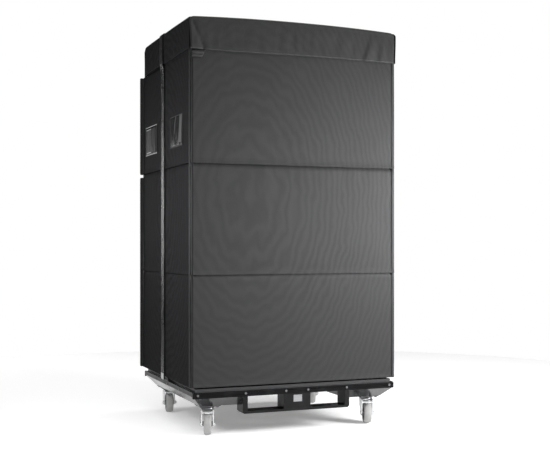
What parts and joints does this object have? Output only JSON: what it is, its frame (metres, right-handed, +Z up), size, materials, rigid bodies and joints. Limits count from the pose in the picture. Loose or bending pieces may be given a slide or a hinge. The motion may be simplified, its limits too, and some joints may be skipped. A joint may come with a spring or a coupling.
{
  "type": "line array transport stack",
  "caption": "Stack of line array loudspeakers with flying frame under a fitted black cover, on a fork-pocket cart with braked swivel castors.",
  "frame": {"origin": "bottom centre of the bounding box, on the floor between the castors", "axes": "+Z up; +X right along the wide face; the front, with the fork guide and label, faces -Y"},
  "size_m": [1.06, 0.887, 1.9065],
  "materials": {
    "cart_black": "glossy black powder coat that mirrors the floor",
    "deck": "film faced plywood, dark, slightly glossy edge",
    "plate": "brushed, blank",
    "bolts": "zinc plated, worn",
    "zinc": "bright zinc plated pressed steel",
    "hub": "grey polyamide wheel centre",
    "tyre": "grey non-marking tread",
    "cabinet_paint": "textured black cabinet paint",
    "grille_paint": "perforated sheet, matt black",
    "rigging_paint": "dark grey powder coat",
    "driver": "black cone and basket",
    "waveguide": "moulded black waveguide",
    "connector_plate": "black anodised",
    "cover_fabric": "black coated woven polyester with a fine rib",
    "webbing": "satin black woven strap"
  },
  "bodies": {
    "cart": {"chassis_pan": "cart_black", "cross_members": "cart_black", "deck_board": "deck", "front_rail": "cart_black", "rear_rail": "cart_black", "left_rail": "cart_black", "right_rail": "cart_black", "front_fork_guide": "cart_black", "rear_fork_guide": "cart_black", "identity_plate": "plate", "cart_bolts": "bolts", "castor_plates": "zinc", "strap_anchors": "bolts", "stack_brackets": "cart_black", "cabinet_low": "cabinet_paint", "grille_low": "grille_paint", "rigging_low": "rigging_paint", "woofers_low": "driver", "horn_low": "waveguide", "rear_panel_low": "connector_plate", "cabinet_mid": "cabinet_paint", "grille_mid": "grille_paint", "rigging_mid": "rigging_paint", "woofers_mid": "driver", "horn_mid": "waveguide", "rear_panel_mid": "connector_plate", "cabinet_top": "cabinet_paint", "grille_top": "grille_paint", "rigging_top": "rigging_paint", "woofers_top": "driver", "horn_top": "waveguide", "rear_panel_top": "connector_plate", "flying_frame": "rigging_paint", "splay_links": "bolts"},
    "cover": {"cover_front": "cover_fabric", "cover_rear": "cover_fabric", "cover_left": "cover_fabric", "cover_right": "cover_fabric"},
    "lid": {"cover_lid": "cover_fabric", "lid_strap": "webbing"},
    "castor_fl": {"castor_fork_fl": "zinc", "castor_axle_fl": "bolts"},
    "wheel_fl": {"castor_wheel_fl": "hub", "castor_tyre_fl": "tyre"},
    "pedal_fl": {"brake_pedal_fl": "zinc"},
    "castor_fr": {"castor_fork_fr": "zinc", "castor_axle_fr": "bolts"},
    "wheel_fr": {"castor_wheel_fr": "hub", "castor_tyre_fr": "tyre"},
    "pedal_fr": {"brake_pedal_fr": "zinc"},
    "castor_rl": {"castor_fork_rl": "zinc", "castor_axle_rl": "bolts"},
    "wheel_rl": {"castor_wheel_rl": "hub", "castor_tyre_rl": "tyre"},
    "pedal_rl": {"brake_pedal_rl": "zinc"},
    "castor_rr": {"castor_fork_rr": "zinc", "castor_axle_rr": "bolts"},
    "wheel_rr": {"castor_wheel_rr": "hub", "castor_tyre_rr": "tyre"},
    "pedal_rr": {"brake_pedal_rr": "zinc"}
  },
  "joints": [
    {"name": "cover_lift", "type": "slide", "parent": "cart", "child": "cover", "axis": [0, 0, 1], "range_m": [0, 1.7]},
    {"name": "lid_lift", "type": "slide", "parent": "cover", "child": "lid", "axis": [0, 0, 1], "range_m": [0, 0.25]},
    {"name": "swivel_fl", "type": "hinge", "parent": "cart", "child": "castor_fl", "pos_m": [-0.404, -0.334, 0.12], "axis": [0, 0, 1], "continuous": true},
    {"name": "roll_fl", "type": "hinge", "parent": "castor_fl", "child": "wheel_fl", "pos_m": [-0.41636, -0.37204, 0.05], "axis": [0.9511, -0.309, 0], "continuous": true},
    {"name": "brake_fl", "type": "hinge", "parent": "castor_fl", "child": "pedal_fl", "pos_m": [-0.41822, -0.37775, 0.109], "axis": [0.9511, -0.309, 0], "range_deg": [0, 14]},
    {"name": "swivel_fr", "type": "hinge", "parent": "cart", "child": "castor_fr", "pos_m": [0.414, -0.334, 0.12], "axis": [0, 0, 1], "continuous": true},
    {"name": "roll_fr", "type": "hinge", "parent": "castor_fr", "child": "wheel_fr", "pos_m": [0.40164, -0.37204, 0.05], "axis": [0.9511, -0.309, 0], "continuous": true},
    {"name": "brake_fr", "type": "hinge", "parent": "castor_fr", "child": "pedal_fr", "pos_m": [0.39979, -0.37775, 0.109], "axis": [0.9511, -0.309, 0], "range_deg": [0, 14]},
    {"name": "swivel_rl", "type": "hinge", "parent": "cart", "child": "castor_rl", "pos_m": [-0.404, 0.334, 0.12], "axis": [0, 0, 1], "continuous": true},
    {"name": "roll_rl", "type": "hinge", "parent": "castor_rl", "child": "wheel_rl", "pos_m": [-0.41095, 0.29461, 0.05], "axis": [0.9848, -0.1736, 0], "continuous": true},
    {"name": "brake_rl", "type": "hinge", "parent": "castor_rl", "child": "pedal_rl", "pos_m": [-0.41199, 0.2887, 0.109], "axis": [0.9848, -0.1736, 0], "range_deg": [0, 14]},
    {"name": "swivel_rr", "type": "hinge", "parent": "cart", "child": "castor_rr", "pos_m": [0.414, 0.334, 0.12], "axis": [0, 0, 1], "continuous": true},
    {"name": "roll_rr", "type": "hinge", "parent": "castor_rr", "child": "wheel_rr", "pos_m": [0.40164, 0.29596, 0.05], "axis": [0.9511, -0.309, 0], "continuous": true},
    {"name": "brake_rr", "type": "hinge", "parent": "castor_rr", "child": "pedal_rr", "pos_m": [0.39979, 0.29025, 0.109], "axis": [0.9511, -0.309, 0], "range_deg": [0, 14]}
  ]
}
